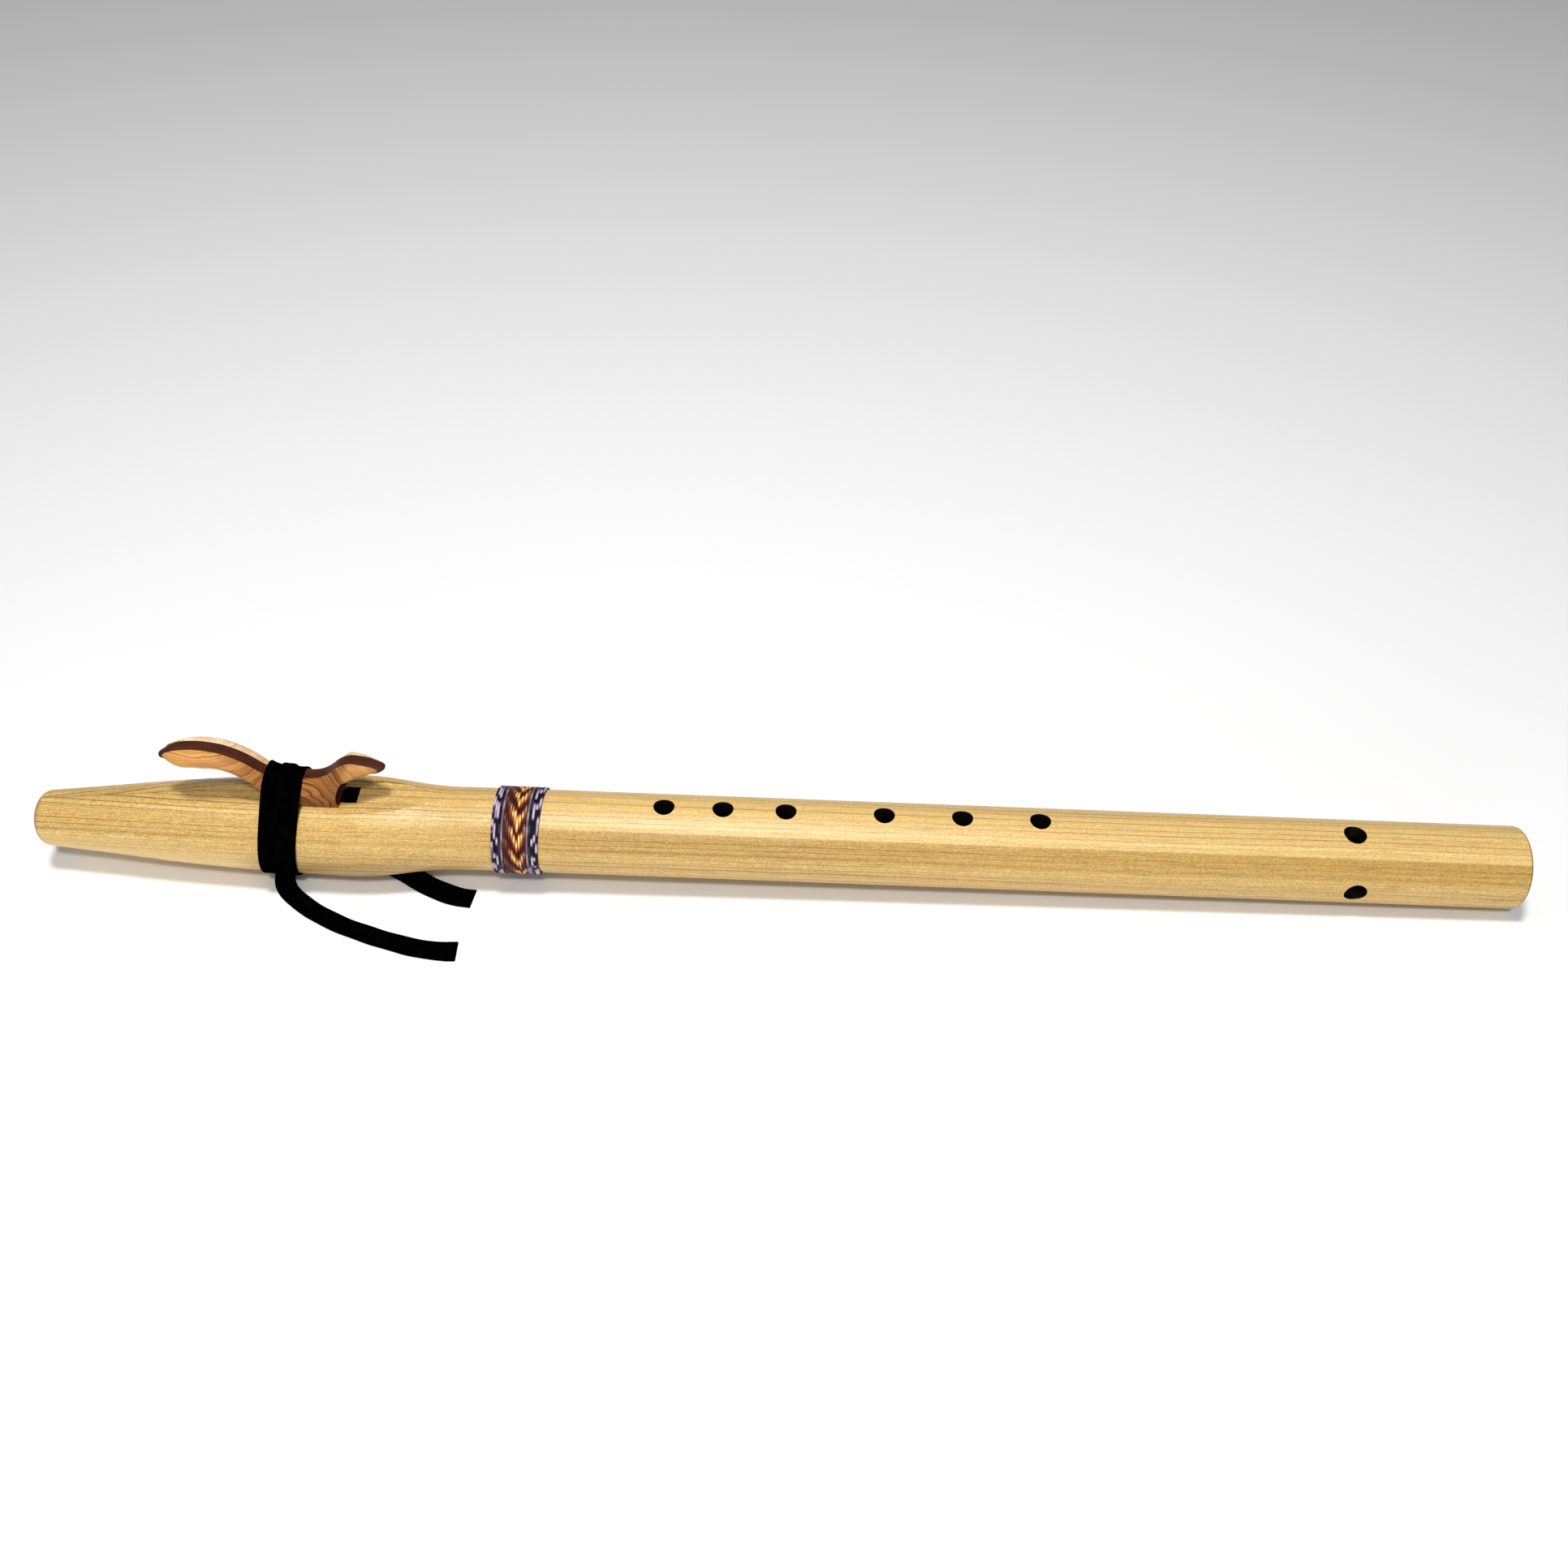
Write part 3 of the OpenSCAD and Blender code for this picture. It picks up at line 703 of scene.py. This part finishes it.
def core_grid():
    """the core comes to a blunt point at tail and beak, its height drawn in with its plan"""
    out = []
    for y in np.linspace(-CORE_HALF, CORE_HALF, 13):
        cut = TIP_LEN * (1 - math.sqrt(max(0.0, 1 - (y / CORE_HALF) ** 2)))

        def along(u):
            if u < TIPS[0] + TIP_REACH:
                return TIPS[0] + cut + (u - TIPS[0]) * (1 - cut / TIP_REACH)
            if u > TIPS[1] - TIP_REACH:
                return TIPS[1] - cut - (TIPS[1] - u) * (1 - cut / TIP_REACH)
            return u

        worn = 0.12 * (abs(y) / CORE_HALF) ** 6         # the top's edges, slightly lower
        out.append([up(np.array([along(r[0]), max(BASE_H, r[1])]),
                       np.array([along(r[2]), r[3] - worn]), y) for r in CORE_RUNGS])
    return out


def side_grid(side):
    """a light layer, from the core out to the rounded outer face"""
    def back(shift, k):
        """the tail is rounded in plan, the beak straight"""
        return shift * (0.5 * k + 0.5 * (1 - math.sqrt(1 - min(1.0, k) ** 2)) if shift > 0 else k)

    return [[up(np.array([r[0] + back(r[4], k), max(BASE_H, r[1] + r[5] * q)]),
                np.array([r[2] + back(r[6], k), r[3] + top_shift(r, k, q)]), y) for r in SIDE_RUNGS]
            for y, k, q in round_over(side)]


layer("bird_core", "block_core", core_grid(), CORE, "dark_wood", 1)
layer("bird_near_layer", "block_right_side", side_grid(-1), NEAR_WOOD, "figured_wood", -1)
layer("bird_far_layer", "block_left_side", side_grid(1), FAR_WOOD, "figured_wood", 1)

# ------------------------------------------------ the flute's two halves
for name, wood, side in (("body_left_half", "body_wood_left", 1),
                         ("body_right_half", "body_wood_right", -1)):
    materials = frame["nodes"][name].data.materials
    materials.clear()
    materials.append(body_wood(wood, side))


# ------------------------------------------------ thread
PER_TURN = 1 / (2 * math.pi * BARREL_R)                 # turns to a mm of thread


def sine(nt, turns):
    return math_(nt, "SINE", times(nt, turns, 2 * math.pi))


def thread_material(name, kind):
    """dyed thread; its length so far, the place round it and the turn's number come with the mesh"""
    m, nt, bs = material(name)
    at = nd(nt, "ShaderNodeAttribute", attribute_name="along").outputs["Vector"]
    length, round_, turn = nd(nt, "ShaderNodeSeparateXYZ", ins={0: at}).outputs
    one = nd(nt, "ShaderNodeCombineXYZ", ins={0: length, 1: times(nt, turn, 2.3)}).outputs[0]
    ragged = math_(nt, "SUBTRACT", noise(nt, one, 0.16, 1.0, 0.5), 0.5)
    own = math_(nt, "FRACT", times(nt, turn, 0.382))
    ply = sine(nt, plus(nt, times(nt, length, 0.85), round_))
    if kind == "two_tone":
        # lilac and black by turns, 11 times round the barrel
        wave = sine(nt, plus(nt, times(nt, length, 11 * PER_TURN), times(nt, own, 0.8),
                             times(nt, ragged, 1.5)))
        col = ramp(nt, math_(nt, "MULTIPLY_ADD", wave, 0.5, 0.5),
                   [(0.14, srgb(8, 4, 10)), (0.34, srgb(50, 36, 58)), (0.56, srgb(150, 126, 160)),
                    (0.92, srgb(206, 188, 214))])
        # one turn is all black and the next all lilac, beside the middle band
        for number, strength, colour in ((3.0, 0.93, srgb(8, 4, 10)), (4.0, 0.7, srgb(132, 112, 134))):
            col = mix(nt, times(nt, math_(nt, "COMPARE", turn, number, 0.45), strength), col, colour)
    else:
        # maroon, orange and cream, 12 times round the barrel
        wave = plus(nt, times(nt, length, 12 * PER_TURN), times(nt, own, 0.10),
                    math_(nt, "MULTIPLY_ADD", ragged, 0.8, 0.8))
        col = ramp(nt, math_(nt, "FRACT", wave),
                   [(0.0, srgb(40, 6, 14)), (0.18, srgb(62, 12, 18)), (0.34, srgb(176, 78, 24)),
                    (0.46, srgb(240, 156, 56)), (0.60, srgb(255, 236, 168)), (0.76, srgb(236, 150, 56)),
                    (0.87, srgb(104, 30, 20)), (1.0, srgb(36, 5, 14))])
        edge = times(nt, math_(nt, "ABSOLUTE", math_(nt, "SUBTRACT", turn, 5.0)), 0.25)
        col = mix(nt, levels(nt, edge, (0.40, 0), (0.85, 0.90)), col, srgb(78, 16, 20))
    # painted shade where one turn meets the next, and in the grooves of the ply's twist
    crown = times(nt, math_(nt, "COSINE", times(nt, round_, 2 * math.pi)), -1)
    col = mix(nt, levels(nt, crown, (0.50, 0.95), (0.90, 0)), col, srgb(16, 5, 12))
    col = mix(nt, math_(nt, "MULTIPLY_ADD", ply, -0.08, 0.08), col, srgb(20, 8, 14))
    surface(nt, bs, col, 0.6, 0.2, NO_COAT, [(0.35, 0.0002, ply)])
    return m


STEPS, THREAD_R = 88, 0.45          # to a turn; half the thread's thickness
SECTION = [math.pi + 2 * math.pi * v / 9 for v in range(9)]     # from the hidden inner side, right round
EARLY, EXTRA = 0.3, 0.28            # of a turn: wound before the first, and wound more than the count
TUCK = 14                           # steps over which an end is tucked in
MIDDLE = 5.5                        # the turn on either side of which the dye shifts alike


def thread(name, node, u0, turns, pitch, mat, slot_name, flip=False, vee=0.0, fan=0.0):
    """turns of thread laid side by side, hand-wound so that they aren't quite even

    vee shifts the dye from turn to turn, either way from MIDDLE; fan spreads the last turns; flip
    numbers them from the foot.
    """
    n, nv = int(STEPS * (turns + EXTRA)), len(SECTION)
    verts, along = [], []
    run = 0.0
    for i in range(n + 1):
        k = i / STEPS - EARLY                           # turns so far
        phi = 2 * math.pi * k - math.radians(100)       # starts underneath
        u = u0 + (k + 0.15) * pitch
        u += 0.05 * math.sin(phi * 0.73 + 0.8) + 0.03 * math.sin(phi * 2.31)
        u += fan * (k / turns) * math.sin(phi + 0.4)
        u = min(max(u, u0 + 0.1), u0 + turns * pitch - 0.1)
        ends = min(1.0, i / TUCK, (n - i) / TUCK)
        r = BARREL_R + 0.02 + THREAD_R * (2 * ends - 1) + 0.03 * math.sin(phi * 1.7) - 0.03
        number = max(0, math.floor(k + 1e-9))
        for v, a in enumerate(SECTION):
            # flattened where it presses on its neighbours
            w, rr = pitch * 0.6 * math.sin(a), r + THREAD_R * math.cos(a)
            verts.append((u + w, rr * math.sin(phi), rr * math.cos(phi)))
            along.append((run - vee * abs(k - MIDDLE), v / nv, turns - 1 - number if flip else number))
        run += 2 * math.pi * BARREL_R / STEPS
    faces = grid_faces(n + 1, nv)
    faces.append(tuple(range(nv - 1, -1, -1)))
    faces.append(tuple(n * nv + v for v in range(nv)))
    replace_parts(piece(name, to_row(verts), faces, mat, slot_name, "flute", along=along), node)


TWO_TONE = thread_material("thread_two_tone", "two_tone")
VARIEGATED = thread_material("thread_variegated", "variegated")
thread("thread_mouth_winding", "thread_band_mouth", 176.4, 5, 0.92, TWO_TONE, "thread_two_tone")
thread("thread_middle_winding", "thread_band_middle", 181.1, 9, 0.96, VARIEGATED, "thread_variegated",
       vee=1.9)
thread("thread_foot_winding", "thread_band_foot", 189.85, 5, 1.0, TWO_TONE, "thread_two_tone",
       flip=True, fan=0.5)

# ------------------------------------------------ table, light
FLOOR = 4.0                         # half its side, in metres
me = bpy.data.meshes.new("floor")
me.from_pydata([(-FLOOR, -FLOOR, 0), (FLOOR, -FLOOR, 0), (FLOOR, FLOOR, 0), (-FLOOR, FLOOR, 0)], [],
               [(0, 1, 2, 3)])
floor = bpy.data.objects.new("floor", me)
scene.collection.objects.link(floor)
m, nt, bs = material("floor")
surface(nt, bs, (0.90, 0.90, 0.90, 1), 0.7, 0.2, NO_COAT, [])
me.materials.append(m)

world = bpy.data.worlds.new("world")
scene.world = world
world.use_nodes = True
background = world.node_tree.nodes["Background"]
background.inputs["Color"].default_value = (1.0, 1.0, 1.0, 1)
background.inputs["Strength"].default_value = 0.24


def area(name, loc, size, size_y, power):
    """a white light aimed at the middle of the flute"""
    data = bpy.data.lights.new(name, "AREA")
    data.shape = "RECTANGLE"
    data.size, data.size_y, data.energy = size, size_y, power
    ob = bpy.data.objects.new(name, data)
    ob.location = loc
    ob.rotation_euler = (Vector((0, 0, 0)) - Vector(loc)).to_track_quat("-Z", "Y").to_euler()
    scene.collection.objects.link(ob)


area("key", (-0.1, -0.20, 1.3), 0.18, 0.18, 12.0)
area("front", (0.0, -0.76, 1.20), 0.12, 0.12, 7.4)
area("fill", (-0.2, -1.8, 0.50), 0.7, 0.4, 3.5)
scene.view_settings.view_transform = "Standard"
